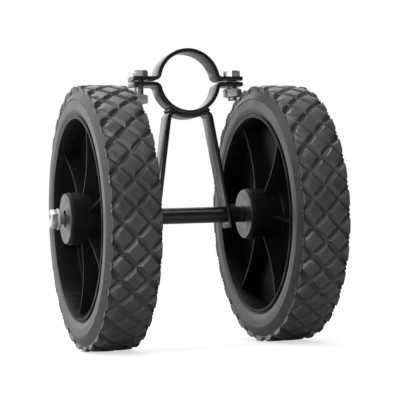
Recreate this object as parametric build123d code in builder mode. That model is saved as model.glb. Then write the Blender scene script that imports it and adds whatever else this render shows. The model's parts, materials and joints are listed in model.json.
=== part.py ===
"""Twin-wheel transport kit: two wheels on an axle under a bolt-on pipe clamp.

Origin at the centre of the clamp bore. X along the axle, Y along the clamped
tube, Z up. The axle lies below the clamp. Lengths are millimetres.
"""
import os
from math import cos, radians, sin, tan

from build123d import *

# Clamp: two half-bands bent from flat bar, bolted together at their ears
CLAMP_BORE = 45.5
CLAMP_WIDTH = 18.0
CLAMP_THICKNESS = 3.0
CLAMP_SPLIT = 1.4
CLAMP_BEND_RADIUS = 5.5
CLAMP_BOLT_OFFSET = 12.75
CLAMP_HOLE_CLEARANCE = 0.6
EAR_MARGIN = 6.5
EAR_CORNER_RADIUS = 1.5

# Leg bracket: one bar bent to a V under the clamp
LEG_THICKNESS = 3.0
LEG_WIDTH = 18.0
LEG_SPLAY = 9.0
LEG_HALF_GAP_TOP = 15.2
LEG_BEND_RADIUS = 3.0
LEG_BELOW_AXLE = 10.6
WEB_ARC_ANGLE = 20.0

# Axle tube, which runs through both legs
AXLE_DROP = 104.5
AXLE_TUBE_DIAMETER = 12.7
AXLE_TUBE_BOLT_CLEARANCE = 1.0
TUBE_END_RECESS = 1.0

# Weld beads
CLAMP_BEAD_RADIUS = 3.2
CLAMP_BEAD_STANDOFF = 0.65
CLAMP_BEAD_ANGLE = 32.0
AXLE_BEAD_SIZE = 2.0

# Wheels: a solid tyre on a moulded rim with a pressed-in sleeve
EAR_TO_TYRE_GAP = 6.6
TYRE_DIAMETER = 203.2
TYRE_WIDTH = 41.0
TYRE_SECTION = 24.3
TYRE_SHOULDER_RADIUS = 4.0
TYRE_FLANK_RADIUS = 6.0
TYRE_CROWN_RISE = 0.8
BEAD_STEP = 0.5
BEAD_FLARE = 3.0
SIDEWALL_GROOVE_DROP = 11.1
SIDEWALL_GROOVE_DEPTH = 0.6
SIDEWALL_GROOVE_WIDTH = 1.2
RIM_INSET = 0.6
RIM_WALL = 1.3
RIM_LIP_HEIGHT = 1.1
RIM_LIP_THICKNESS = 1.5
RIM_DRAFT = 2.5
RIM_WEB_THICKNESS = 3.0
RIM_FILLET = 2.0
RIB_COUNT = 6
RIB_THICKNESS = 1.6
RIB_RECESS = 4.7
RIB_DISH = 2.4
HUB_STANDOUT = 5.8
HUB_DIAMETER = 39.8
HUB_CHAMFER = 0.8
SLEEVE_WALL = 2.6
LEFT_WHEEL_TURN = 15.0
RIGHT_WHEEL_TURN = 38.5

# Washers beside the hubs, and the clearances round what turns
HUB_WASHER_DIAMETER = 38.1
HUB_WASHER_THICKNESS = 2.0
WASHER_CLEARANCE = 0.2
WASHER_EDGE = 0.3
SPIN_CLEARANCE = 0.06
SIDE_CLEARANCE = 0.1

# M8 bolts, nuts and washers
THREAD_DIAMETER = 8.0
HEX_ACROSS_FLATS = 13.0
HEX_FACE_MARGIN = 0.3
HEX_CHAMFER_ANGLE = 30.0
BOLT_HEAD_HEIGHT = 5.3
BOLT_TIP_CHAMFER = 0.8
HEAD_DISH_DIAMETER = 7.4
HEAD_DISH_DEPTH = 0.9
HEAD_DISH_TAPER = 30.0
NUT_HEIGHT = 6.5
LOCK_NUT_HEIGHT = 8.0
LOCK_COLLAR_HEIGHT = 2.0
LOCK_COLLAR_DIAMETER = 11.6
LOCK_COLLAR_ROUNDING = 1.0
PLAIN_WASHER_OVERLAP = 1.45
PLAIN_WASHER_THICKNESS = 1.6
PLAIN_WASHER_CLEARANCE = 0.4

# How far each fastener is screwed on, and which way its flats face
CLAMP_BOLT_LENGTH = 18.0
NUT_GAP_LEFT = 6.6
NUT_GAP_RIGHT = 1.6
LEFT_BOLT_TURN = -18.6
RIGHT_BOLT_TURN = 11.4
LEFT_NUT_TURN = -4.4
RIGHT_NUT_TURN = 18.6
AXLE_BOLT_SLACK = 4.7
AXLE_BOLT_OVERHANG = 3.0

# Values that follow from the sizes above
bore_radius = CLAMP_BORE / 2
band_radius = bore_radius + CLAMP_THICKNESS
clamp_bolt_x = band_radius + CLAMP_BOLT_OFFSET
ear_end_x = clamp_bolt_x + EAR_MARGIN
ear_face_z = CLAMP_SPLIT / 2
ear_back_z = ear_face_z + CLAMP_THICKNESS
axle_z = -AXLE_DROP
tube_radius = AXLE_TUBE_DIAMETER / 2
sleeve_bore_radius = tube_radius + SPIN_CLEARANCE
sleeve_radius = sleeve_bore_radius + SLEEVE_WALL
tyre_radius = TYRE_DIAMETER / 2
seat_radius = tyre_radius - TYRE_SECTION
opening_radius = seat_radius - RIM_WALL
half_rim = TYRE_WIDTH / 2 - RIM_INSET
half_seat = half_rim - RIM_LIP_THICKNESS
half_hub = TYRE_WIDTH / 2 + HUB_STANDOUT
wheel_x = ear_end_x + EAR_TO_TYRE_GAP + TYRE_WIDTH / 2
hub_inner_x = wheel_x - half_hub
hub_outer_x = wheel_x + half_hub
washer_outer_x = hub_outer_x + SIDE_CLEARANCE + HUB_WASHER_THICKNESS
tube_end_x = washer_outer_x - TUBE_END_RECESS
axle_axis = Axis((0, 0, axle_z), (1, 0, 0))

os.makedirs("parts", exist_ok=True)


def save(piece, name):
    """Label a finished piece and write it to its own STEP file."""
    piece.part.label = name
    export_step(piece.part, f"parts/{name}.step")


# ---------------------------------------------------------------- clamp

def half_band_profile():
    """Upper half-band seen along the tube: an arc that turns out into two ears."""
    with BuildSketch() as profile:
        Circle(band_radius)
        Rectangle(2 * ear_end_x, 2 * ear_back_z)
        Circle(bore_radius, mode=Mode.SUBTRACT)
        with Locations((0, ear_face_z)):
            Rectangle(2 * ear_end_x, 2 * ear_end_x, align=(Align.CENTER, Align.MAX), mode=Mode.SUBTRACT)
        corners = profile.vertices().filter_by(lambda v: abs(v.X) < ear_end_x - 1)
        fillet(corners.filter_by(lambda v: abs(v.Y - ear_face_z) < 0.01), CLAMP_BEND_RADIUS)
        corners = profile.vertices().filter_by(lambda v: abs(v.X) < ear_end_x - 1)
        inside_bends = corners.filter_by(lambda v: abs(v.Y - ear_back_z) < 0.01)
        fillet(inside_bends, CLAMP_BEND_RADIUS - CLAMP_THICKNESS)
    return profile.sketch


def half_band(side):
    """One half of the clamp, above the split for side 1 and below it for side -1."""
    with BuildPart() as band:
        with BuildSketch(Plane.XZ) as section:
            add(half_band_profile() if side > 0 else mirror(half_band_profile(), about=Plane.XZ))
        extrude(amount=CLAMP_WIDTH / 2, both=True)
        with Locations((-clamp_bolt_x, 0, side * ear_face_z), (clamp_bolt_x, 0, side * ear_face_z)):
            Cylinder(
                (THREAD_DIAMETER + CLAMP_HOLE_CLEARANCE) / 2, 3 * CLAMP_THICKNESS, mode=Mode.SUBTRACT
            )
        ear_corners = band.edges().filter_by(Axis.Z).filter_by(lambda e: abs(e.center().X) > ear_end_x - 0.01)
        fillet(ear_corners, EAR_CORNER_RADIUS)
    return band


clamp_upper_half = half_band(1)
save(clamp_upper_half, "clamp_upper_half")

clamp_lower_half = half_band(-1)
save(clamp_lower_half, "clamp_lower_half")


# ---------------------------------------------------------------- leg bracket

def leg_inner_x(z):
    """Distance from the middle plane to a leg's inner face at height z."""
    return LEG_HALF_GAP_TOP + (-band_radius - z) * tan(radians(LEG_SPLAY))


web_radius = band_radius + LEG_THICKNESS
leg_end_z = axle_z - LEG_BELOW_AXLE
web_arc_end = (
    web_radius * sin(radians(WEB_ARC_ANGLE)),
    -web_radius * cos(radians(WEB_ARC_ANGLE)),
)

# The web leaves its arc on a tangent and meets the leg's inner face at the bend
web_slope = tan(radians(WEB_ARC_ANGLE))
leg_slope = tan(radians(LEG_SPLAY))
bend_x = (
    LEG_HALF_GAP_TOP - (band_radius + web_arc_end[1] - web_slope * web_arc_end[0]) * leg_slope
) / (1 + web_slope * leg_slope)
bend_z = web_arc_end[1] + web_slope * (bend_x - web_arc_end[0])

with BuildPart() as leg_bracket:
    with BuildSketch(Plane.XZ):
        with BuildLine() as bar_path:
            Polyline((leg_inner_x(leg_end_z), leg_end_z), (bend_x, bend_z), web_arc_end)
            RadiusArc(web_arc_end, (-web_arc_end[0], web_arc_end[1]), web_radius)
            Polyline(
                (-web_arc_end[0], web_arc_end[1]),
                (-bend_x, bend_z),
                (-leg_inner_x(leg_end_z), leg_end_z),
            )
            bends = bar_path.vertices().filter_by(lambda v: abs(v.Y - bend_z) < 0.01)
            fillet(bends, LEG_BEND_RADIUS)
            offset(amount=LEG_THICKNESS, side=Side.RIGHT)
        make_face()
    extrude(amount=LEG_WIDTH / 2, both=True)
    with BuildSketch(Plane.YZ):
        with Locations((0, axle_z)):
            Circle(tube_radius)
    extrude(amount=wheel_x, both=True, mode=Mode.SUBTRACT)

save(leg_bracket, "leg_bracket")


# ---------------------------------------------------------------- weld beads

# A bead fills each notch where the bar leaves the underside of the clamp
bead_reach = band_radius + CLAMP_BEAD_STANDOFF
bead_centre_x = bead_reach * sin(radians(CLAMP_BEAD_ANGLE))
bead_centre_z = -bead_reach * cos(radians(CLAMP_BEAD_ANGLE))

with BuildPart() as clamp_weld_beads:
    with BuildSketch(Plane.XZ):
        with Locations((bead_centre_x, bead_centre_z), (-bead_centre_x, bead_centre_z)):
            Circle(CLAMP_BEAD_RADIUS)
    extrude(amount=CLAMP_WIDTH / 2, both=True)
    add(leg_bracket.part, mode=Mode.SUBTRACT)
    add(clamp_lower_half.part, mode=Mode.SUBTRACT)

save(clamp_weld_beads, "clamp_weld_beads")


# ---------------------------------------------------------------- axle tube

with BuildPart() as axle_tube:
    with BuildSketch(Plane.YZ):
        with Locations((0, axle_z)):
            Circle(tube_radius)
            Circle((THREAD_DIAMETER + AXLE_TUBE_BOLT_CLEARANCE) / 2, mode=Mode.SUBTRACT)
    extrude(amount=tube_end_x, both=True)

save(axle_tube, "axle_tube")



def leg_outer_x(z):
    """Distance from the middle plane to a leg's outer face at height z."""
    return leg_inner_x(z) + LEG_THICKNESS / cos(radians(LEG_SPLAY))


# A fillet bead runs round the tube on the outer face of each leg
bead_x = leg_outer_x(axle_z)
above_bead_z = axle_z + tube_radius + 2 * AXLE_BEAD_SIZE
below_bead_z = axle_z - tube_radius - 2 * AXLE_BEAD_SIZE

with BuildPart() as axle_weld_beads:
    with BuildSketch(Plane.XZ):
        with Locations((bead_x, axle_z + tube_radius), (-bead_x, axle_z + tube_radius)):
            Circle(AXLE_BEAD_SIZE)
    revolve(axis=axle_axis)
    with BuildSketch(Plane.YZ):
        with Locations((0, axle_z)):
            Circle(tube_radius)
    extrude(amount=wheel_x, both=True, mode=Mode.SUBTRACT)
    with BuildSketch(Plane.XZ):
        Polygon(
            (-leg_outer_x(below_bead_z), below_bead_z),
            (leg_outer_x(below_bead_z), below_bead_z),
            (leg_outer_x(above_bead_z), above_bead_z),
            (-leg_outer_x(above_bead_z), above_bead_z),
            align=None,
        )
    extrude(amount=wheel_x, both=True, mode=Mode.SUBTRACT)

save(axle_weld_beads, "axle_weld_beads")


# ---------------------------------------------------------------- washers

def washer(face_x, direction, bore, diameter, thickness):
    """Flat washer on the axle: one face at face_x, the rest of it in direction along X."""
    with BuildPart() as ring:
        with BuildSketch(Plane.YZ.offset(face_x)):
            with Locations((0, axle_z)):
                Circle(diameter / 2)
                Circle(bore / 2, mode=Mode.SUBTRACT)
        extrude(amount=direction * thickness)
        rims = ring.edges().filter_by(GeomType.CIRCLE).sort_by(SortBy.RADIUS)[-2:]
        chamfer(rims, WASHER_EDGE)
    return ring


hub_washer_bore = AXLE_TUBE_DIAMETER + 2 * WASHER_CLEARANCE
plain_washer_bore = THREAD_DIAMETER + PLAIN_WASHER_CLEARANCE
plain_washer_diameter = hub_washer_bore + 2 * PLAIN_WASHER_OVERLAP

for side, side_name in ((-1, "left"), (1, "right")):
    outer_washer = washer(
        side * (hub_outer_x + SIDE_CLEARANCE), side, hub_washer_bore, HUB_WASHER_DIAMETER, HUB_WASHER_THICKNESS
    )
    save(outer_washer, f"{side_name}_outer_washer")
    inner_washer = washer(
        side * (hub_inner_x - SIDE_CLEARANCE), -side, hub_washer_bore, HUB_WASHER_DIAMETER, HUB_WASHER_THICKNESS
    )
    save(inner_washer, f"{side_name}_inner_washer")

head_washer_x = -(washer_outer_x + AXLE_BOLT_SLACK)
axle_head_washer = washer(
    head_washer_x, -1, plain_washer_bore, plain_washer_diameter, PLAIN_WASHER_THICKNESS
)
save(axle_head_washer, "axle_head_washer")

axle_nut_washer = washer(
    washer_outer_x, 1, plain_washer_bore, plain_washer_diameter, PLAIN_WASHER_THICKNESS
)
save(axle_nut_washer, "axle_nut_washer")


# ---------------------------------------------------------------- bolts and nuts

hex_corner_radius = HEX_ACROSS_FLATS / 2 / cos(radians(30))
hex_face_radius = HEX_ACROSS_FLATS / 2 - HEX_FACE_MARGIN
hex_chamfer_drop = (hex_corner_radius - hex_face_radius) * tan(radians(HEX_CHAMFER_ANGLE))


def hexagon(plane, height, turn, both_ends):
    """Hexagonal block standing on a plane, its corners turned off at one end or both."""
    with BuildPart() as turned:
        with BuildSketch(plane):
            Circle(hex_corner_radius)
        extrude(amount=height)
        ends = turned.faces().filter_by(GeomType.PLANE).sort_by(Axis(plane.origin, plane.z_dir))
        for end in ends if both_ends else ends[-1:]:
            chamfer(end.edges(), hex_corner_radius - hex_face_radius, hex_chamfer_drop, reference=end)
    with BuildPart() as block:
        with BuildSketch(plane):
            RegularPolygon(HEX_ACROSS_FLATS / 2, 6, major_radius=False, rotation=turn)
        extrude(amount=height)
        add(turned.part, mode=Mode.INTERSECT)
    return block.part


def bolt(plane, length, turn):
    """Hexagon bolt: the plane lies under its head and faces out through the head."""
    with BuildPart() as piece:
        add(hexagon(plane, BOLT_HEAD_HEIGHT, turn, both_ends=False))
        with BuildSketch(plane.offset(BOLT_HEAD_HEIGHT)):
            Circle(HEAD_DISH_DIAMETER / 2)
        extrude(amount=-HEAD_DISH_DEPTH, taper=HEAD_DISH_TAPER, mode=Mode.SUBTRACT)
        with BuildSketch(plane):
            Circle(THREAD_DIAMETER / 2)
        extrude(amount=-length)
        tip = piece.faces().filter_by(GeomType.PLANE).sort_by(Axis(plane.origin, plane.z_dir))[0]
        chamfer(tip.edges(), BOLT_TIP_CHAMFER)
    return piece


def nut(plane, height, turn, collar_height=0.0):
    """Hexagon nut standing on a plane, with an optional locking collar on its far end."""
    with BuildPart() as piece:
        add(hexagon(plane, height - collar_height, turn, both_ends=True))
        if collar_height:
            with BuildSketch(plane.offset(height - collar_height)):
                Circle(LOCK_COLLAR_DIAMETER / 2)
            extrude(amount=collar_height)
            rim = piece.faces().filter_by(GeomType.PLANE).sort_by(Axis(plane.origin, plane.z_dir))[-1]
            fillet(rim.edges(), LOCK_COLLAR_ROUNDING)
        with BuildSketch(plane):
            Circle(THREAD_DIAMETER / 2)
        extrude(amount=height, mode=Mode.SUBTRACT)
    return piece


clamp_sides = (
    (-1, "left", LEFT_BOLT_TURN, NUT_GAP_LEFT, LEFT_NUT_TURN),
    (1, "right", RIGHT_BOLT_TURN, NUT_GAP_RIGHT, RIGHT_NUT_TURN),
)

for side, side_name, bolt_turn, nut_gap, nut_turn in clamp_sides:
    head_seat = Plane((side * clamp_bolt_x, 0, ear_back_z))
    clamp_bolt = bolt(head_seat, CLAMP_BOLT_LENGTH, bolt_turn)
    save(clamp_bolt, f"clamp_bolt_{side_name}")
    nut_seat = Plane((side * clamp_bolt_x, 0, -ear_back_z - nut_gap), x_dir=(1, 0, 0), z_dir=(0, 0, -1))
    clamp_nut = nut(nut_seat, NUT_HEIGHT, nut_turn)
    save(clamp_nut, f"clamp_nut_{side_name}")

axle_head_x = head_washer_x - PLAIN_WASHER_THICKNESS
axle_nut_x = washer_outer_x + PLAIN_WASHER_THICKNESS
axle_bolt_length = axle_nut_x + LOCK_NUT_HEIGHT + AXLE_BOLT_OVERHANG - axle_head_x

axle_bolt = bolt(
    Plane((axle_head_x, 0, axle_z), x_dir=(0, 0, 1), z_dir=(-1, 0, 0)), axle_bolt_length, turn=0.0
)
save(axle_bolt, "axle_bolt")

axle_lock_nut = nut(
    Plane((axle_nut_x, 0, axle_z), x_dir=(0, 0, 1), z_dir=(1, 0, 0)), LOCK_NUT_HEIGHT, 0.0, LOCK_COLLAR_HEIGHT
)
save(axle_lock_nut, "axle_lock_nut")


# ---------------------------------------------------------------- wheels

def wheel_plane(centre_x):
    """Plane through a wheel's centre: its x runs along the axle and its y outwards."""
    return Plane((centre_x, 0, axle_z), x_dir=(1, 0, 0), z_dir=(0, -1, 0))


def hub_sleeve(centre_x):
    """Plain bearing sleeve pressed into the rim, which turns on the axle tube."""
    with BuildPart() as sleeve:
        with BuildSketch(Plane.YZ.offset(centre_x)):
            with Locations((0, axle_z)):
                Circle(sleeve_radius)
                Circle(sleeve_bore_radius, mode=Mode.SUBTRACT)
        extrude(amount=half_hub, both=True)
    return sleeve


def rim(centre_x, turn):
    """Moulded rim: a hub, a thin web and a dished barrel, with ribs on both faces."""
    half_web = RIM_WEB_THICKNESS / 2
    hub_radius = HUB_DIAMETER / 2
    with BuildPart() as body:
        with BuildSketch(wheel_plane(centre_x)) as section:
            with BuildLine():
                half_outline = Polyline(
                    (0, sleeve_radius),
                    (half_hub, sleeve_radius),
                    (half_hub, hub_radius),
                    (half_web, hub_radius),
                    (half_web, opening_radius - RIM_DRAFT),
                    (half_rim, opening_radius),
                    (half_rim, seat_radius + RIM_LIP_HEIGHT),
                    (half_seat, seat_radius + RIM_LIP_HEIGHT),
                    (half_seat, seat_radius),
                    (0, seat_radius),
                )
                mirror(half_outline, about=Plane.YZ)
            make_face()
            inside = section.vertices().filter_by(lambda v: abs(abs(v.X) - half_web) < 0.01)
            fillet(inside, RIM_FILLET)
            hub_ends = section.vertices().filter_by(lambda v: abs(abs(v.X) - half_hub) < 0.01)
            chamfer(hub_ends.filter_by(lambda v: abs(v.Y - hub_radius) < 0.01), HUB_CHAMFER)
        revolve(axis=axle_axis)
        for index in range(RIB_COUNT):
            rib_plane = wheel_plane(centre_x).rotated((turn + index * 360 / RIB_COUNT, 0, 0))
            with BuildSketch(rib_plane):
                with BuildLine():
                    edge = ThreePointArc(
                        (half_rim - RIB_RECESS, hub_radius - RIM_FILLET),
                        (half_rim - RIB_RECESS - RIB_DISH, (hub_radius + opening_radius) / 2),
                        (half_rim - RIB_RECESS, opening_radius),
                    )
                    other_edge = mirror(edge, about=Plane.YZ)
                    Line(edge @ 0, other_edge @ 0)
                    Line(edge @ 1, other_edge @ 1)
                make_face()
            extrude(amount=RIB_THICKNESS / 2, both=True)
    return body


def tyre(centre_x):
    """Solid tyre seated between the rim lips: flat sidewalls, a fine groove, a crowned tread."""
    half_width = TYRE_WIDTH / 2
    groove_radius = tyre_radius - SIDEWALL_GROOVE_DROP
    bead_radius = seat_radius + RIM_LIP_HEIGHT + BEAD_STEP
    flank_radius = bead_radius + BEAD_FLARE
    edge_radius = tyre_radius - TYRE_CROWN_RISE
    with BuildPart() as body:
        with BuildSketch(wheel_plane(centre_x)) as section:
            with BuildLine():
                side = Polyline(
                    (half_seat, seat_radius),
                    (half_seat, bead_radius),
                    (half_width, flank_radius),
                    (half_width, edge_radius),
                )
                other_side = mirror(side, about=Plane.YZ)
                Line(side @ 0, other_side @ 0)
                ThreePointArc(side @ 1, (0, tyre_radius), other_side @ 1)
            make_face()
            shoulders = section.vertices().filter_by(lambda v: abs(v.Y - edge_radius) < 0.01)
            fillet(shoulders, TYRE_SHOULDER_RADIUS)
            flanks = section.vertices().filter_by(lambda v: abs(v.Y - flank_radius) < 0.01)
            fillet(flanks, TYRE_FLANK_RADIUS)
            with Locations((half_width, groove_radius), (-half_width, groove_radius)):
                Rectangle(2 * SIDEWALL_GROOVE_DEPTH, SIDEWALL_GROOVE_WIDTH, mode=Mode.SUBTRACT)
        revolve(axis=axle_axis)
    return body


for side, side_name, turn in ((-1, "left", LEFT_WHEEL_TURN), (1, "right", RIGHT_WHEEL_TURN)):
    save(hub_sleeve(side * wheel_x), f"{side_name}_hub_sleeve")
    save(rim(side * wheel_x, turn), f"{side_name}_rim")
    save(tyre(side * wheel_x), f"{side_name}_tyre")
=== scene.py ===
# %% [markdown]
# # A clamp-on twin wheel kit, from frame to finish
#
# The object is a small transport kit: two wheels with block-tread tyres on one axle, a welded V bracket,
# and a two-half clamp that bolts round the tube of a stand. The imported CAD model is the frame. It fixes
# every size and place, and this lesson adds what a machinist's drawing leaves out: soft edges, threads, weld
# ripples, a real tread, and finishes that react to light.

# %% Load the frame
import json
import math

import bpy
from mathutils import Matrix, Vector


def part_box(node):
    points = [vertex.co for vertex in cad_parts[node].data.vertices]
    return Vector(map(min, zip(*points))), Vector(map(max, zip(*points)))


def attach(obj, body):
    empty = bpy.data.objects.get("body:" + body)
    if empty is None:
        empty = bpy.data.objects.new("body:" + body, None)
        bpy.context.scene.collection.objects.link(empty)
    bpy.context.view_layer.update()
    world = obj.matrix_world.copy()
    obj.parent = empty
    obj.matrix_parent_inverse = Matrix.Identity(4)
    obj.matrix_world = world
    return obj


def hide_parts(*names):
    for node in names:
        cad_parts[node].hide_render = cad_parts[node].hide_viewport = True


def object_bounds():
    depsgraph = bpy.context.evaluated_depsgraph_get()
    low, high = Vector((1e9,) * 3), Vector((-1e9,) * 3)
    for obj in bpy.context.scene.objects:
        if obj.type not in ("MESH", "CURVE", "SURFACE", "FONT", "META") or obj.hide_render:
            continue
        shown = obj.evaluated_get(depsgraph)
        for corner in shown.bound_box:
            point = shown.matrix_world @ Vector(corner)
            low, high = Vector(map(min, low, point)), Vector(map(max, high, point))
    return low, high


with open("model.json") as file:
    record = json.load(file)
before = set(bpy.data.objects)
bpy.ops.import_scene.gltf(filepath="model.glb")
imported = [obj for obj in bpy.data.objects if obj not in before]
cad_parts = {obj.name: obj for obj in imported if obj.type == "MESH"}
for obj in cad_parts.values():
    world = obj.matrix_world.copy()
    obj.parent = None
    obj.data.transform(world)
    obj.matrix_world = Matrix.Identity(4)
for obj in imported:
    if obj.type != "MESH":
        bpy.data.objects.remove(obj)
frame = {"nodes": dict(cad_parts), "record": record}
nodes = frame["nodes"]
cad_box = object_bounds()
MM = 0.001

# %% [markdown]
# ## Camera
#
# A camera can be aimed with a constraint, but three plain vectors are easier to reason about: one to the
# right, one up and one back from the subject. The long lens keeps the two wheels nearly the same size, and
# the small roll comes from a camera that was not quite level.

# %% Camera
VIEW_AZIMUTH = math.radians(-18.7)
VIEW_ELEVATION = math.radians(-2.25)
VIEW_ROLL = math.radians(-2.2)
VIEW_DISTANCE = 1103.9 * MM
VIEW_TARGET = Vector((8.1, 0.0, -92.6)) * MM
LENS = 126.8
SENSOR = 36.0


def view_axes(azimuth, elevation, roll):
    """Right, up and back directions of a camera that looks at the object from that side."""
    back = Vector((
        math.sin(azimuth) * math.cos(elevation),
        -math.cos(azimuth) * math.cos(elevation),
        math.sin(elevation),
    ))
    level_right = Vector((math.cos(azimuth), math.sin(azimuth), 0.0))
    level_up = back.cross(level_right)
    right = level_right * math.cos(roll) + level_up * math.sin(roll)
    return right, back.cross(right), back


right, up, back = view_axes(VIEW_AZIMUTH, VIEW_ELEVATION, VIEW_ROLL)
bpy.ops.object.camera_add()
camera = bpy.context.object
camera.name = "studio_camera"
camera.matrix_world = (
    Matrix.Translation(VIEW_TARGET + back * VIEW_DISTANCE) @ Matrix((right, up, back)).transposed().to_4x4()
)
camera.data.lens = LENS
camera.data.sensor_width = SENSOR
camera.data.clip_start = 10 * MM
bpy.context.scene.camera = camera
bpy.context.scene.view_settings.view_transform = "Standard"
print("camera stands", round(VIEW_DISTANCE, 3), "m from its target")

# %% [markdown]
# ## Floor, sky and lights
#
# Black parts show only what they mirror, so the studio matters more than the paint. The surroundings are
# bright behind the object and dim on the camera's side: faces that look sideways then catch the bright
# background at a glancing angle and turn light grey, while faces that look at the camera stay near black.
# A tall narrow light on the left draws the long highlights on the tube and the legs, and two large soft ones
# above light the tread. The floor and the sky look white to the camera only, so that they don't flood the
# black parts with light: the Light Path node tells a ray from the camera from a bounced one.

# %% Floor
FLOOR_SIZE = 12.0
FLOOR_GREY = 0.52
FLOOR_GLOW = 0.02
FLOOR_GLOW_SEEN = 0.62
bpy.ops.mesh.primitive_grid_add(
    x_subdivisions=4, y_subdivisions=4, size=FLOOR_SIZE, location=(0, 0, cad_box[0][2])
)
floor = bpy.context.object
floor.name = "studio_floor"
floor_paint = bpy.data.materials.new("pale floor")
floor_paint.use_nodes = True
floor_tree = floor_paint.node_tree
floor_shader = floor_tree.nodes["Principled BSDF"]
floor_shader.inputs["Base Color"].default_value = (FLOOR_GREY, FLOOR_GREY, FLOOR_GREY, 1)
floor_shader.inputs["Emission Color"].default_value = (1, 1, 1, 1)
floor_shader.inputs["Roughness"].default_value = 0.9
floor_shader.inputs["Specular IOR Level"].default_value = 0.1
floor_rays = floor_tree.nodes.new("ShaderNodeLightPath")
floor_glow = floor_tree.nodes.new("ShaderNodeMapRange")
floor_glow.inputs["To Min"].default_value = FLOOR_GLOW
floor_glow.inputs["To Max"].default_value = FLOOR_GLOW_SEEN
floor_tree.links.new(floor_rays.outputs["Is Camera Ray"], floor_glow.inputs["Value"])
floor_tree.links.new(floor_glow.outputs["Result"], floor_shader.inputs["Emission Strength"])
floor.data.materials.append(floor_paint)
print("floor at height", round(cad_box[0][2], 4), "m")

# %% Surroundings: bright behind and above, dim on the camera's side
SKY_SEEN = 1.0
SKY_DARK = 0.15
SKY_BRIGHT = 1.75
BRIGHT_SIDE = Vector((-0.45, 0.85, 0.25)).normalized()
FADE_START = -0.2
FADE_END = 0.9
world = bpy.data.worlds.new("white studio")
bpy.context.scene.world = world
world.use_nodes = True
sky = world.node_tree
sky.nodes.clear()
direction = sky.nodes.new("ShaderNodeTexCoord")
towards = sky.nodes.new("ShaderNodeVectorMath")
towards.operation = "DOT_PRODUCT"
towards.inputs[1].default_value = BRIGHT_SIDE
spread = sky.nodes.new("ShaderNodeMapRange")
spread.interpolation_type = "SMOOTHSTEP"
spread.inputs["From Min"].default_value = FADE_START
spread.inputs["From Max"].default_value = FADE_END
spread.inputs["To Min"].default_value = SKY_DARK
spread.inputs["To Max"].default_value = SKY_BRIGHT
mirrored = sky.nodes.new("ShaderNodeBackground")
seen = sky.nodes.new("ShaderNodeBackground")
seen.inputs["Strength"].default_value = SKY_SEEN
rays = sky.nodes.new("ShaderNodeLightPath")
either = sky.nodes.new("ShaderNodeMixShader")
output = sky.nodes.new("ShaderNodeOutputWorld")
for shader in (mirrored, seen):
    shader.inputs["Color"].default_value = (1, 1, 1, 1)
sky.links.new(direction.outputs["Generated"], towards.inputs[0])
sky.links.new(towards.outputs["Value"], spread.inputs["Value"])
sky.links.new(spread.outputs["Result"], mirrored.inputs["Strength"])
sky.links.new(rays.outputs["Is Camera Ray"], either.inputs["Fac"])
sky.links.new(mirrored.outputs[0], either.inputs[1])
sky.links.new(seen.outputs[0], either.inputs[2])
sky.links.new(either.outputs[0], output.inputs["Surface"])
print("surroundings go from", SKY_DARK, "to", SKY_BRIGHT)


# %% Soft lights
def softbox(name, place, width, height, power):
    bpy.ops.object.light_add(type="AREA", location=place)
    light = bpy.context.object
    light.name = name
    light.data.shape = "RECTANGLE"
    light.data.size = width
    light.data.size_y = height
    light.data.energy = power
    aim = VIEW_TARGET - Vector(place)
    light.rotation_euler = aim.to_track_quat("-Z", "Y").to_euler()


softbox("key_left", place=(-1.35, -1.05, 0.50), width=0.30, height=1.5, power=20)
softbox("fill_front", place=(0.3, -1.1, 1.7), width=0.9, height=0.9, power=8)
softbox("top_back", place=(-0.1, 0.6, 1.6), width=0.9, height=0.9, power=11)

# %% [markdown]
# ## Surface effects as node groups
#
# Several finishes share the same small effects: a fine grain that breaks up highlights, a cloudy unevenness
# in how shiny a surface is, and edges that handling has rubbed. Each effect is one node group with named
# sockets, placed in every material with its own values. Their noise reads Object coordinates, so a pattern
# stays put on its piece.


# %% A helper that starts a node group
def effect_group(name, inputs, outputs):
    """Empty node group with float inputs (name, default) and outputs (name, kind)."""
    group = bpy.data.node_groups.new(name, "ShaderNodeTree")
    for label, value in inputs:
        socket = group.interface.new_socket(label, in_out="INPUT", socket_type="NodeSocketFloat")
        socket.default_value = value
    for label, kind in outputs:
        group.interface.new_socket(label, in_out="OUTPUT", socket_type=kind)
    return group, group.nodes.new("NodeGroupInput"), group.nodes.new("NodeGroupOutput")


# %% Fine grain: a bump that is too small to see as shape
def fine_grain_group():
    """Noise bump. Size is grains per metre, Depth is in metres."""
    group, source, result = effect_group(
        "fine grain",
        (("Size", 900.0), ("Depth", 0.00005), ("Strength", 0.5)),
        (("Normal", "NodeSocketVector"),),
    )
    place = group.nodes.new("ShaderNodeTexCoord")
    noise = group.nodes.new("ShaderNodeTexNoise")
    noise.inputs["Detail"].default_value = 3.0
    bump = group.nodes.new("ShaderNodeBump")
    group.links.new(place.outputs["Object"], noise.inputs["Vector"])
    group.links.new(source.outputs["Size"], noise.inputs["Scale"])
    group.links.new(noise.outputs["Fac"], bump.inputs["Height"])
    group.links.new(source.outputs["Depth"], bump.inputs["Distance"])
    group.links.new(source.outputs["Strength"], bump.inputs["Strength"])
    group.links.new(bump.outputs["Normal"], result.inputs["Normal"])
    return group


# %% Cloudiness: slow change from one value to another
NOISE_FLOOR = 0.35
NOISE_CEILING = 0.65


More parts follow.
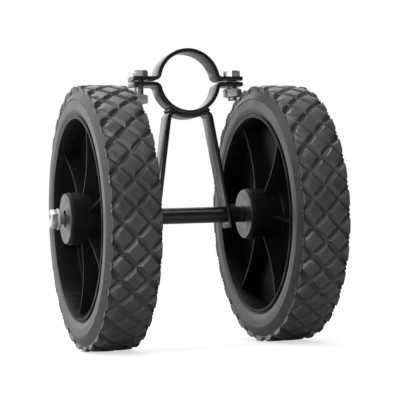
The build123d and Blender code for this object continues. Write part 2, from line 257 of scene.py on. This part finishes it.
def cloud_group():
    """A value that drifts between Low and High over the surface, and the mask that drives it."""
    group, source, result = effect_group(
        "cloudiness",
        (("Size", 40.0), ("Low", 0.0), ("High", 1.0)),
        (("Value", "NodeSocketFloat"), ("Mask", "NodeSocketFloat")),
    )
    place = group.nodes.new("ShaderNodeTexCoord")
    noise = group.nodes.new("ShaderNodeTexNoise")
    noise.inputs["Detail"].default_value = 5.0
    noise.inputs["Roughness"].default_value = 0.6
    level = group.nodes.new("ShaderNodeMapRange")
    mask = group.nodes.new("ShaderNodeMapRange")
    group.links.new(place.outputs["Object"], noise.inputs["Vector"])
    group.links.new(source.outputs["Size"], noise.inputs["Scale"])
    for stretch in (level, mask):
        stretch.inputs["From Min"].default_value = NOISE_FLOOR
        stretch.inputs["From Max"].default_value = NOISE_CEILING
        group.links.new(noise.outputs["Fac"], stretch.inputs["Value"])
    group.links.new(source.outputs["Low"], level.inputs["To Min"])
    group.links.new(source.outputs["High"], level.inputs["To Max"])
    group.links.new(level.outputs["Result"], result.inputs["Value"])
    group.links.new(mask.outputs["Result"], result.inputs["Mask"])
    return group


# %% Edge rub: a mask of the sharp outer edges, where handling wears a finish
def edge_rub_group():
    """Mask that rises on convex edges, from Start to End of Pointiness, and is broken up by noise."""
    group, source, result = effect_group(
        "edge rub", (("Start", 0.53), ("End", 0.60)), (("Mask", "NodeSocketFloat"),)
    )
    shape = group.nodes.new("ShaderNodeNewGeometry")
    edges = group.nodes.new("ShaderNodeMapRange")
    place = group.nodes.new("ShaderNodeTexCoord")
    noise = group.nodes.new("ShaderNodeTexNoise")
    noise.inputs["Scale"].default_value = 260.0
    noise.inputs["Detail"].default_value = 4.0
    patchy = group.nodes.new("ShaderNodeMath")
    patchy.operation = "MULTIPLY"
    group.links.new(shape.outputs["Pointiness"], edges.inputs["Value"])
    group.links.new(source.outputs["Start"], edges.inputs["From Min"])
    group.links.new(source.outputs["End"], edges.inputs["From Max"])
    group.links.new(place.outputs["Object"], noise.inputs["Vector"])
    group.links.new(edges.outputs["Result"], patchy.inputs[0])
    group.links.new(noise.outputs["Fac"], patchy.inputs[1])
    group.links.new(patchy.outputs["Value"], result.inputs["Mask"])
    return group


fine_grain = fine_grain_group()
cloudiness = cloud_group()
edge_rub = edge_rub_group()
print("node groups:", [g.name for g in bpy.data.node_groups])

# %% [markdown]
# ## Finishes
#
# Every finish starts from the Principled shader. Values that are the same all over are typed into the
# shader, and only what changes over the surface arrives by a link.


# %% Helpers that start a finish, fill it and connect it
def finish(name, metallic=0.0, specular=0.5):
    """New material, with its node tree and its Principled shader."""
    material = bpy.data.materials.new(name)
    material.use_nodes = True
    tree = material.node_tree
    shader = tree.nodes["Principled BSDF"]
    shader.inputs["Metallic"].default_value = metallic
    shader.inputs["Specular IOR Level"].default_value = specular
    return material, tree, shader


def place_group(tree, group, **values):
    """Put a group in a material and set its named inputs."""
    node = tree.nodes.new("ShaderNodeGroup")
    node.node_tree = group
    for label, value in values.items():
        node.inputs[label].default_value = value
    return node


def blend_colours(tree, mask, low, high):
    """Colour that goes from low to high with a mask."""
    mix = tree.nodes.new("ShaderNodeMix")
    mix.data_type = "RGBA"
    mix.inputs["A"].default_value = (*low, 1)
    mix.inputs["B"].default_value = (*high, 1)
    tree.links.new(mask, mix.inputs["Factor"])
    return mix.outputs["Result"]


def connect(tree, shader, colour, clouds, grain=None):
    """Link a colour, a cloudy roughness and, where there is one, a grain to the shader."""
    tree.links.new(colour, shader.inputs["Base Color"])
    tree.links.new(clouds.outputs["Value"], shader.inputs["Roughness"])
    if grain:
        tree.links.new(grain.outputs["Normal"], shader.inputs["Normal"])


# %% Black paint, satin gloss, as sprayed on welded steel
black_paint, tree, shader = finish("black paint")
clouds = place_group(tree, cloudiness, Size=60.0, Low=0.20, High=0.30)
rub = place_group(tree, edge_rub, Start=0.56, End=0.70)
peel = place_group(tree, fine_grain, Size=420.0, Depth=0.00004, Strength=0.25)
colour = blend_colours(tree, rub.outputs["Mask"], (0.0045, 0.0045, 0.005), (0.02, 0.02, 0.021))
connect(tree, shader, colour, clouds, peel)

# %% Bright zinc plate
zinc_plate, tree, shader = finish("bright zinc plate", metallic=1.0)
clouds = place_group(tree, cloudiness, Size=180.0, Low=0.34, High=0.46)
tint = place_group(tree, cloudiness, Size=70.0)
grain = place_group(tree, fine_grain, Size=2600.0, Depth=0.00001, Strength=0.3)
colour = blend_colours(tree, tint.outputs["Mask"], (0.50, 0.51, 0.53), (0.61, 0.60, 0.59))
connect(tree, shader, colour, clouds, grain)

# %% Zinc for the hub washers, a little rougher than the bolts, its colour darkened far below zinc's as painted shade so that they mirror less of the bright surroundings
washer_zinc_painted_shade, tree, shader = finish("zinc plate darkened as painted shade", metallic=1.0)
clouds = place_group(tree, cloudiness, Size=160.0, Low=0.38, High=0.52)
tint = place_group(tree, cloudiness, Size=90.0)
# The washers' dark colour is painted shade: the same zinc as the bolts, darkened so that it mirrors less
# light.
colour = blend_colours(tree, tint.outputs["Mask"], (0.092, 0.092, 0.098), (0.156, 0.156, 0.156))
connect(tree, shader, colour, clouds)

# %% Moulded black plastic with a faint texture from the mould
rim_plastic, tree, shader = finish("moulded black plastic", specular=0.12)
clouds = place_group(tree, cloudiness, Size=45.0, Low=0.42, High=0.55)
grain = place_group(tree, fine_grain, Size=1500.0, Depth=0.00003, Strength=0.35)
colour = blend_colours(tree, clouds.outputs["Mask"], (0.0030, 0.0030, 0.0034), (0.0045, 0.0045, 0.005))
connect(tree, shader, colour, clouds, grain)


# %% Three rubbers: a dark tread, a sidewall lightened as painted sheen, and the shoulder between them darkened as painted shade
WORN_RUBBER = (0.11, 0.11, 0.115, 1)


def rubber(name, dark, light, shiny, dull, grain_depth):
    """Rubber that goes from dark to light and from shiny to dull in soft patches, with rubbed edges."""
    material, tree, shader = finish(name, specular=0.42)
    clouds = place_group(tree, cloudiness, Size=55.0, Low=shiny, High=dull)
    rub = place_group(tree, edge_rub, Start=0.52, End=0.62)
    grain = place_group(tree, fine_grain, Size=1300.0, Depth=grain_depth, Strength=0.5)
    base = blend_colours(tree, clouds.outputs["Mask"], dark, light)
    worn = tree.nodes.new("ShaderNodeMix")
    worn.data_type = "RGBA"
    worn.inputs["B"].default_value = WORN_RUBBER
    tree.links.new(rub.outputs["Mask"], worn.inputs["Factor"])
    tree.links.new(base, worn.inputs["A"])
    connect(tree, shader, worn.outputs["Result"], clouds, grain)
    return material


tread_rubber = rubber(
    "tread rubber", (0.036, 0.035, 0.037), (0.050, 0.048, 0.051),
    shiny=0.31, dull=0.42, grain_depth=0.00004,
)
# The sidewall's lighter colour is painted sheen: it stands in for the bright surroundings mirrored at a
# glancing angle.
sidewall_rubber_painted_sheen = rubber(
    "sidewall rubber, painted sheen", (0.064, 0.062, 0.065), (0.080, 0.078, 0.081),
    shiny=0.42, dull=0.52, grain_depth=0.00003,
)
# The shoulder's darker colour is painted shade, where the slope under the lugs turns away from the light.
shoulder_rubber_painted_shade = rubber(
    "shoulder rubber with painted shade", (0.030, 0.030, 0.032), (0.040, 0.039, 0.041),
    shiny=0.40, dull=0.50, grain_depth=0.00003,
)

# %% Natural nylon for the sleeves in the hubs
nylon, tree, shader = finish("natural nylon", specular=0.4)
clouds = place_group(tree, cloudiness, Size=90.0, Low=0.40, High=0.52)
colour = blend_colours(tree, clouds.outputs["Mask"], (0.66, 0.63, 0.55), (0.72, 0.70, 0.63))
connect(tree, shader, colour, clouds)

# %% The finish of every CAD node, by its slot in the record
finish_of_slot = {
    "black_paint": black_paint,
    "zinc_plate": zinc_plate,
    "rim_plastic": rim_plastic,
    "tyre_rubber": tread_rubber,
    "sleeve_nylon": nylon,
}
HUB_WASHERS = [f"{side}_{face}_washer" for side in ("left", "right") for face in ("inner", "outer")]
slot_of_node = {entry["node"]: entry["material_slot"] for entry in frame["record"]["subparts"]}
body_of_node = {}
for body, members in frame["record"]["behaviour"]["bodies"].items():
    for name in members:
        body_of_node[name] = body
for name, node in nodes.items():
    node.data.materials.clear()
    # The hub washers take the zinc that is darkened as painted shade.
    node.data.materials.append(washer_zinc_painted_shade if name in HUB_WASHERS else finish_of_slot[slot_of_node[name]])
print("finishes:", {slot: m.name for slot, m in finish_of_slot.items()})

# %% [markdown]
# ## Working with pieces
#
# A visible piece that replaces a CAD node needs the same four lines every time: its finish, the body it
# rides on, the node it replaces and the slot it takes its colour from. They are one helper here. The other
# helpers keep selection tidy, because an operator acts on everything that is selected.


# %% Helpers for selection, modifiers and hand-over
def select_only(*objects):
    """Deselect everything, then select these and make the first one active."""
    bpy.ops.object.select_all(action="DESELECT")
    for piece in objects:
        piece.select_set(True)
    bpy.context.view_layer.objects.active = objects[0]


def apply_modifier(piece, kind, **settings):
    """Add a modifier with these settings and apply it at once."""
    select_only(piece)
    bpy.ops.object.modifier_add(type=kind)
    modifier = piece.modifiers[-1]
    for label, value in settings.items():
        setattr(modifier, label, value)
    bpy.ops.object.modifier_apply(modifier=modifier.name)


def settle(piece):
    """Put a piece's place into its mesh, so that its object sits at the origin."""
    select_only(piece)
    bpy.ops.object.transform_apply(location=True, rotation=True, scale=True)


def hand_over(piece, *replaced, finishes=None):
    """Finish a piece that stands for CAD nodes, and let it ride on their body."""
    slot = slot_of_node[replaced[0]]
    piece.data.materials.clear()
    for material in finishes or (finish_of_slot[slot],):
        piece.data.materials.append(material)
    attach(piece, body_of_node[replaced[0]])
    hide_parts(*replaced)
    print(piece.name, "has", len(piece.data.polygons), "faces")


# %% [markdown]
# ## Soft edges on bent bar and hexagons
#
# Nothing real has a perfectly sharp edge: bar is rolled, plastic is moulded, plating fills corners. A narrow
# bevel catches a line of light and says "metal" or "plastic" at once. The CAD mesh is loose triangles, so a
# copy is merged and its flat faces joined again before the Bevel modifier can follow the true edges.


# %% A copy of a CAD node with rounded edges
FLAT_ANGLE = math.radians(0.5)
EDGE_ANGLE = math.radians(28)
SMOOTH_ANGLE = math.radians(30)
SAME_PLACE = 0.001 * MM


def merged_copy(node_name, name):
    """Editable copy of a CAD node: one connected mesh whose flat faces are whole."""
    piece = nodes[node_name].copy()
    piece.data = nodes[node_name].data.copy()
    piece.name = piece.data.name = name
    for label in list(piece.keys()):
        del piece[label]
    piece.parent = None
    bpy.context.scene.collection.objects.link(piece)
    select_only(piece)
    if piece.data.has_custom_normals:
        bpy.ops.mesh.customdata_custom_splitnormals_clear()
    bpy.ops.object.mode_set(mode="EDIT")
    bpy.ops.mesh.select_all(action="SELECT")
    bpy.ops.mesh.remove_doubles(threshold=SAME_PLACE)
    bpy.ops.mesh.dissolve_limited(angle_limit=FLAT_ANGLE)
    bpy.ops.object.mode_set(mode="OBJECT")
    return piece


def soften(piece, width):
    """Round a piece's sharp edges to a width and shade the rest smooth."""
    apply_modifier(
        piece, "BEVEL", width=width, segments=2, limit_method="ANGLE", angle_limit=EDGE_ANGLE,
        use_clamp_overlap=True, harden_normals=False,
    )
    select_only(piece)
    bpy.ops.object.shade_smooth_by_angle(angle=SMOOTH_ANGLE)


# %% Bent bar: both clamp halves and the bracket
BAR_EDGE = 0.35 * MM
for name in ("clamp_upper_half", "clamp_lower_half", "leg_bracket"):
    bar = merged_copy(name, f"{name}_bar")
    soften(bar, BAR_EDGE)
    hand_over(bar, name)

# %% Hexagon nuts and the axle bolt, with the slightly rounded corners of plated steel
HEXAGON_EDGE = 0.22 * MM
for name in ("clamp_nut_left", "clamp_nut_right", "axle_lock_nut", "axle_bolt"):
    fastener = merged_copy(name, f"{name}_plated")
    soften(fastener, HEXAGON_EDGE)
    hand_over(fastener, name)

# %% [markdown]
# ## Clamp bolts with a real thread
#
# The two clamp bolts show their threads between the ears and the nuts. The Screw modifier turns a short
# zigzag of edges into a helix: one step along the axis for each turn. The head is cut from the CAD bolt, and
# the thread is added under it.

# %% Threaded shank
THREAD_PITCH = 1.25 * MM
THREAD_DEPTH = 0.62 * MM
THREAD_STEPS = 24


def threaded_shank(name, x, bottom, top, radius):
    """Closed threaded rod, its axis upright at x, from bottom to top."""
    turns = math.ceil((top - bottom) / THREAD_PITCH) + 2
    flat = THREAD_PITCH / 8
    flank = 3 * flat
    bpy.ops.object.select_all(action="DESELECT")
    bpy.ops.mesh.primitive_plane_add(size=MM, location=(radius - THREAD_DEPTH, 0, 0))
    rod = bpy.context.object
    rod.name = rod.data.name = name
    settle(rod)
    bpy.ops.object.mode_set(mode="EDIT")
    bpy.ops.mesh.select_all(action="SELECT")
    bpy.ops.mesh.merge(type="CENTER")
    for step in ((THREAD_DEPTH, 0, flank), (0, 0, flat), (-THREAD_DEPTH, 0, flank), (0, 0, flat)):
        bpy.ops.mesh.extrude_vertices_move(TRANSFORM_OT_translate={"value": step})
    bpy.ops.object.mode_set(mode="OBJECT")
    apply_modifier(
        rod, "SCREW", screw_offset=THREAD_PITCH, iterations=turns, steps=THREAD_STEPS,
        render_steps=THREAD_STEPS, use_merge_vertices=True, merge_threshold=SAME_PLACE,
    )
    select_only(rod)
    bpy.ops.transform.translate(value=(x, 0, bottom - THREAD_PITCH))
    settle(rod)
    bpy.ops.object.mode_set(mode="EDIT")
    for height, keep_upper in ((bottom, True), (top, False)):
        bpy.ops.mesh.select_all(action="SELECT")
        bpy.ops.mesh.bisect(
            plane_co=(x, 0, height), plane_no=(0, 0, 1), use_fill=True,
            clear_inner=keep_upper, clear_outer=not keep_upper,
        )
    bpy.ops.mesh.select_all(action="SELECT")
    bpy.ops.mesh.normals_make_consistent(inside=False)
    bpy.ops.object.mode_set(mode="OBJECT")
    return rod


# %% Bolt head from the CAD bolt, thread below it
STRAP_THICKNESS = 3.0 * MM
SHANK_RADIUS = 4.0 * MM
HEAD_CUT_RISE = 0.02 * MM
SHANK_IN_HEAD = 0.5 * MM
for side in ("left", "right"):
    node_name = f"clamp_bolt_{side}"
    low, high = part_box(node_name)
    centre_x = (low.x + high.x) / 2
    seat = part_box("clamp_upper_half")[0].z + STRAP_THICKNESS
    head = merged_copy(node_name, f"clamp_bolt_{side}_threaded")
    bpy.ops.object.mode_set(mode="EDIT")
    bpy.ops.mesh.select_all(action="SELECT")
    bpy.ops.mesh.bisect(
        plane_co=(0, 0, seat + HEAD_CUT_RISE), plane_no=(0, 0, 1), use_fill=True, clear_inner=True
    )
    bpy.ops.object.mode_set(mode="OBJECT")
    soften(head, HEXAGON_EDGE)
    shank = threaded_shank(f"shank_{side}", centre_x, low.z, seat + SHANK_IN_HEAD, SHANK_RADIUS)
    select_only(shank)
    bpy.ops.object.shade_smooth_by_angle(angle=SMOOTH_ANGLE)
    select_only(head, shank)
    bpy.ops.object.join()
    hand_over(head, node_name)

# %% [markdown]
# ## Weld beads
#
# A weld run looks like a row of coins pushed over: each drop of metal freezes over the last. Overlapping
# squashed balls, fused by a voxel remesh, give that ripple with no sculpting.


# %% A bead from overlapping drops
BEAD_VOXEL = 0.3 * MM


def weld_bead(name, drops):
    """Fuse balls given as (centre, radii) into one rippled bead."""
    balls = []
    for centre, radii in drops:
        bpy.ops.mesh.primitive_uv_sphere_add(
            segments=16, ring_count=10, radius=1, location=centre, scale=radii
        )
        balls.append(bpy.context.object)
    select_only(*balls)
    bpy.ops.object.join()
    bead = bpy.context.object
    bead.name = bead.data.name = name
    settle(bead)
    apply_modifier(bead, "REMESH", mode="VOXEL", voxel_size=BEAD_VOXEL)
    apply_modifier(bead, "CORRECTIVE_SMOOTH", iterations=4, factor=0.5)
    select_only(bead)
    bpy.ops.object.shade_smooth()
    return bead


# %% Beads between the clamp and the bracket's web
DROP_STEP = 2.0 * MM
DROP_RADII = (2.1 * MM, 1.9 * MM, 1.9 * MM)
DROP_INSET = 2.55 * MM
DROP_RISE = 1.95 * MM
low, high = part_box("clamp_weld_beads")
half_width = DROP_RADII[1]
drops = []
count = round((high.y - low.y - 2 * half_width) / DROP_STEP) + 1
for side in (-1, 1):
    for index in range(count):
        y = low.y + half_width + index * DROP_STEP
        centre = (side * (high.x - DROP_INSET), y, low.z + DROP_RISE)
        drops.append((centre, DROP_RADII))
hand_over(weld_bead("clamp_weld_ripples", drops), "clamp_weld_beads")

# %% Beads round the axle tube, on the outer face of each leg
low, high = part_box("axle_weld_beads")
tube_low, tube_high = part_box("axle_tube")
tube_radius = (tube_high.z - tube_low.z) / 2
axle_z = (tube_high.z + tube_low.z) / 2
RING_DROPS = 22
RING_DROP_RADII = (1.6 * MM, 1.45 * MM, 1.45 * MM)
RING_INSET = 1.75 * MM
RING_LIFT = 0.35 * MM
LEG_SLOPE = 0.158
ring_radius = tube_radius + RING_LIFT
drops = []
for side in (-1, 1):
    for index in range(RING_DROPS):
        turn = 2 * math.pi * index / RING_DROPS
        lean = LEG_SLOPE * ring_radius * math.cos(turn)
        x = side * (high.x - RING_INSET - lean)
        centre = (x, ring_radius * math.sin(turn), axle_z + ring_radius * math.cos(turn))
        drops.append((centre, RING_DROP_RADII))
hand_over(weld_bead("axle_weld_ripples", drops), "axle_weld_beads")

# %% [markdown]
# ## Tyres
#
# The tread is a diamond lattice of raised blocks with channels between them. Modelling it on the round tyre
# would be painful, so it is made flat, as a rubber sheet: one pitch of the pattern is cut from a plane by
# straight bisect lines, its channels are lowered, its edges are carried down over the sidewalls to the bead,
# and the pitch is repeated thirty times. Only then is the strip rolled up into a ring. The rolling is a
# formula and not a Bend modifier, because the sheet has to bend two ways at once, round the axle and over
# the crown. The channels run out through the ends of the outer blocks, which leaves them standing as lugs
# over a plain sloping shoulder.

# %% Tyre outline, from the middle of the tread outwards, over the lugs and down to the bead
tyre_low, tyre_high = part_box("left_tyre")
TYRE_RADIUS = (tyre_high.z - tyre_low.z) / 2
HALF_TYRE = (tyre_high.x - tyre_low.x) / 2
CROWN_RISE = 0.8 * MM
CROWN_STEPS = 4
LUG_END = 17.9 * MM
LUG_CHAMFER = 0.4 * MM
LUG_FOOT_INSET = 3.0 * MM
LUG_FOOT_RADIUS = 97.0 * MM
GROOVE_DEPTH = 0.6 * MM
GROOVE_HALF_WIDTH = 0.6 * MM
GROOVE_RADIUS = 90.5 * MM
SEAT_RADIUS = 77.3 * MM
# Each point is an inset from the sidewall and a radius, both in millimetres.
BEAD_CURVE = ((0.0, 84.6), (0.2, 82.8), (0.75, 81.2), (1.5, 79.8), (2.1, 78.9))
# Each point is an inset from the sidewall and a distance from the groove's middle, in half widths.
GROOVE_CURVE = ((0.0, 1), (GROOVE_DEPTH, 0.4), (GROOVE_DEPTH, -0.4), (0.0, -1), (0.0, -2))


def half_outline():
    """Points (distance from the middle plane, radius) and how many of them belong to the tread."""
    points = []
    for step in range(CROWN_STEPS + 1):
        x = LUG_END * step / CROWN_STEPS
        points.append((x, TYRE_RADIUS - CROWN_RISE * (x / HALF_TYRE) ** 2))
    points.append((LUG_END + LUG_CHAMFER, points[-1][1] - LUG_CHAMFER))
    points.append((HALF_TYRE - LUG_FOOT_INSET, LUG_FOOT_RADIUS))
    tread_count = len(points)
    for inset, share in GROOVE_CURVE:
        points.append((HALF_TYRE - inset, GROOVE_RADIUS + share * GROOVE_HALF_WIDTH))
    for inset, radius in BEAD_CURVE:
        points.append((HALF_TYRE - inset * MM, radius * MM))
    points += [(points[-1][0], SEAT_RADIUS), (0.0, SEAT_RADIUS)]
    return points, tread_count


outline, tread_count = half_outline()
reach = [0.0]
for first, second in zip(outline, outline[1:]):
    reach.append(reach[-1] + math.dist(first, second))
tread_edge = reach[tread_count - 1]
lug_reach = reach[tread_count - 2]
print("the sheet is", round(2 * tread_edge / MM, 1), "mm wide before the sidewalls start")

# %% The lattice: how far a block's foot, wall and top reach towards the next cell, and how deep it is cut
NEAR = 0.01 * MM
PITCHES = 30
ROW_PITCH = 10.0 * MM
BLOCK_FOOT = 0.93
BLOCK_WALL = 0.66
BLOCK_TOP = 0.62
TREAD_DEPTH = 2.2 * MM
EDGE_DEPTH = 3.6 * MM
DEEPER_FROM = 12.0 * MM
CHAMFER_SHARE = 0.12
LENGTH_CUTS = 8
PITCH = 2 * math.pi * TYRE_RADIUS / PITCHES
HALF_PITCH = PITCH / 2


def lattice_distance(across, along):
    """0 at a block's middle, 1 at the middle of the channels round it."""
    steep = along / HALF_PITCH + across / ROW_PITCH
    shallow = along / HALF_PITCH - across / ROW_PITCH
    return max(abs(steep - 2 * round(steep / 2)), abs(shallow - 2 * round(shallow / 2)))


def sheet_height(across, along):
    """Height of the rubber sheet: 0 on a block and past the lugs, negative in a channel."""
    distance = lattice_distance(across, along)
    if abs(across) > lug_reach + NEAR:
        share = 0.0
    elif distance <= BLOCK_WALL:
        share = CHAMFER_SHARE * max(0.0, (distance - BLOCK_TOP) / (BLOCK_WALL - BLOCK_TOP))
    else:
        wall_share = min(1.0, (distance - BLOCK_WALL) / (BLOCK_FOOT - BLOCK_WALL))
        share = CHAMFER_SHARE + (1 - CHAMFER_SHARE) * wall_share
    towards_edge = min(1.0, max(0.0, (abs(across) - DEEPER_FROM) / (lug_reach - DEEPER_FROM)))
    return -share * (TREAD_DEPTH + (EDGE_DEPTH - TREAD_DEPTH) * towards_edge)


# %% One flat pitch of the sheet, cut by straight lines
def cut(place, normal):
    """Cut the whole mesh in edit mode along a plane, keeping both sides."""
    bpy.ops.mesh.select_all(action="SELECT")
    bpy.ops.mesh.bisect(plane_co=place, plane_no=normal, threshold=SAME_PLACE)


bpy.ops.object.select_all(action="DESELECT")
bpy.ops.mesh.primitive_plane_add(size=1, location=(0, HALF_PITCH, 0))
sheet = bpy.context.object
sheet.name = sheet.data.name = "tyre_sheet"
sheet.scale = (2 * tread_edge, PITCH, 1)
settle(sheet)
bpy.ops.object.mode_set(mode="EDIT")
cells = math.ceil(tread_edge / ROW_PITCH / 2) + 1
for cell in range(-cells, cells + 2):
    for share in (BLOCK_TOP, BLOCK_WALL, BLOCK_FOOT):
        for sign in (-1, 1):
            line = (2 * cell + sign * share) * HALF_PITCH
            cut((0, line, 0), (1 / ROW_PITCH, 1 / HALF_PITCH, 0))
            cut((0, line, 0), (-1 / ROW_PITCH, 1 / HALF_PITCH, 0))
for distance in reach[1:tread_count - 1]:
    for sign in (-1, 1):
        cut((sign * distance, 0, 0), (1, 0, 0))
cut((0, 0, 0), (1, 0, 0))
for sign in (-1, 1):
    cut((sign * DEEPER_FROM, 0, 0), (1, 0, 0))
for index in range(1, LENGTH_CUTS):
    cut((0, PITCH * index / LENGTH_CUTS, 0), (0, 1, 0))
bpy.ops.object.mode_set(mode="OBJECT")
for vertex in sheet.data.vertices:
    vertex.co.z = sheet_height(vertex.co.x, vertex.co.y)
print("one pitch has", len(sheet.data.polygons), "faces")

# %% Carry the sheet's two edges down the sidewalls to the seat
for sign in (-1, 1):
    select_only(sheet)
    bpy.ops.object.mode_set(mode="EDIT")
    bpy.ops.mesh.select_mode(type="EDGE")
    bpy.ops.mesh.select_all(action="DESELECT")
    bpy.ops.object.mode_set(mode="OBJECT")
    for edge in sheet.data.edges:
        ends = [sheet.data.vertices[i].co.x for i in edge.vertices]
        edge.select = all(abs(x - sign * tread_edge) < NEAR for x in ends)
    bpy.ops.object.mode_set(mode="EDIT")
    for nearer, farther in zip(reach[tread_count - 1:], reach[tread_count:]):
        bpy.ops.mesh.extrude_edges_move(
            TRANSFORM_OT_translate={"value": (sign * (farther - nearer), 0, 0)}
        )
    bpy.ops.object.mode_set(mode="OBJECT")
print("with its sidewalls one pitch has", len(sheet.data.polygons), "faces")

# %% Repeat the pitch, then roll the strip up into a ring round X
apply_modifier(
    sheet, "ARRAY", count=PITCHES, use_relative_offset=False, use_constant_offset=True,
    constant_offset_displace=(0, PITCH, 0), use_merge_vertices=True, merge_threshold=2 * SAME_PLACE,
)


def outline_at(distance):
    """Place across the tyre and radius of the outline at a distance from the middle of the tread."""
    for index in range(len(reach) - 1):
        if distance <= reach[index + 1] + SAME_PLACE / 10:
            break
    (x0, r0), (x1, r1) = outline[index], outline[index + 1]
    share = (distance - reach[index]) / (reach[index + 1] - reach[index])
    return x0 + share * (x1 - x0), r0 + share * (r1 - r0)


for vertex in sheet.data.vertices:
    across, along, height = vertex.co
    x, radius = outline_at(abs(across))
    angle = along / TYRE_RADIUS
    vertex.co = (
        math.copysign(x, across), (radius + height) * math.sin(angle), (radius + height) * math.cos(angle)
    )
select_only(sheet)
bpy.ops.object.mode_set(mode="EDIT")
bpy.ops.mesh.select_mode(type="VERT")
bpy.ops.mesh.select_all(action="SELECT")
bpy.ops.mesh.remove_doubles(threshold=NEAR)
bpy.ops.mesh.normals_make_consistent(inside=False)
bpy.ops.object.mode_set(mode="OBJECT")
print("the ring has", len(sheet.data.polygons), "faces")

# %% [markdown]
# ## Rubber by place
#
# The sidewall and the lugs' end walls are a lighter rubber than the tread, a painted sheen for the bright
# surroundings they mirror at a glancing angle, and the slope under the lugs is the darkest, a painted shade.
# A face is sorted by its distance from the axle and from the tyre's middle plane. Handing a piece over
# empties its list of materials, which resets the faces, so their numbers are kept and put back.
# The two tyres are turned by different parts of a pitch, since two wheels never stand alike.

# %% Tread rubber, with the sidewall and the lugs' end walls lightened as painted sheen and the slope under the lugs darkened as painted shade
TYRE_FINISHES = (tread_rubber, sidewall_rubber_painted_sheen, shoulder_rubber_painted_shade)
TREAD_INDEX, PAINTED_SHEEN_INDEX, PAINTED_SHADE_INDEX = range(3)
for face in sheet.data.polygons:
    centre_radius = math.hypot(face.center.y, face.center.z)
    if centre_radius < GROOVE_RADIUS + GROOVE_HALF_WIDTH:
        face.material_index = PAINTED_SHEEN_INDEX
    elif centre_radius < LUG_FOOT_RADIUS and abs(face.center.x) > HALF_TYRE - LUG_FOOT_INSET:
        face.material_index = PAINTED_SHADE_INDEX
    elif abs(face.center.x) > LUG_END + LUG_CHAMFER:
        face.material_index = PAINTED_SHEEN_INDEX
    else:
        face.material_index = TREAD_INDEX

# %% A copy of the ring for each wheel
TYRE_SMOOTH_ANGLE = math.radians(24)
PITCH_PHASE = {"left": -0.17, "right": 0.18}
for side, phase in PITCH_PHASE.items():
    low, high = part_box(f"{side}_tyre")
    tyre = sheet.copy()
    tyre.data = sheet.data.copy()
    tyre.name = tyre.data.name = f"{side}_tyre_tread"
    bpy.context.scene.collection.objects.link(tyre)
    tyre.rotation_euler = (phase * 2 * math.pi / PITCHES, 0, 0)
    tyre.location = (low + high) / 2
    settle(tyre)
    bpy.ops.object.shade_smooth_by_angle(angle=TYRE_SMOOTH_ANGLE)
    indices = [face.material_index for face in tyre.data.polygons]
    hand_over(tyre, f"{side}_tyre", finishes=TYRE_FINISHES)
    for face, index in zip(tyre.data.polygons, indices):
        face.material_index = index
bpy.data.objects.remove(sheet)

# %% [markdown]
# ## Rims
#
# The rims keep their CAD shape. A moulded part has no sharp edge anywhere, and the thin ribs are seen
# mainly as a thread of light along their rounded edges, so a softened copy stands for each one.

# %% Softened rims
RIM_EDGE = 0.4 * MM
for side in ("left", "right"):
    moulding = merged_copy(f"{side}_rim", f"{side}_rim_moulding")
    soften(moulding, RIM_EDGE)
    hand_over(moulding, f"{side}_rim")
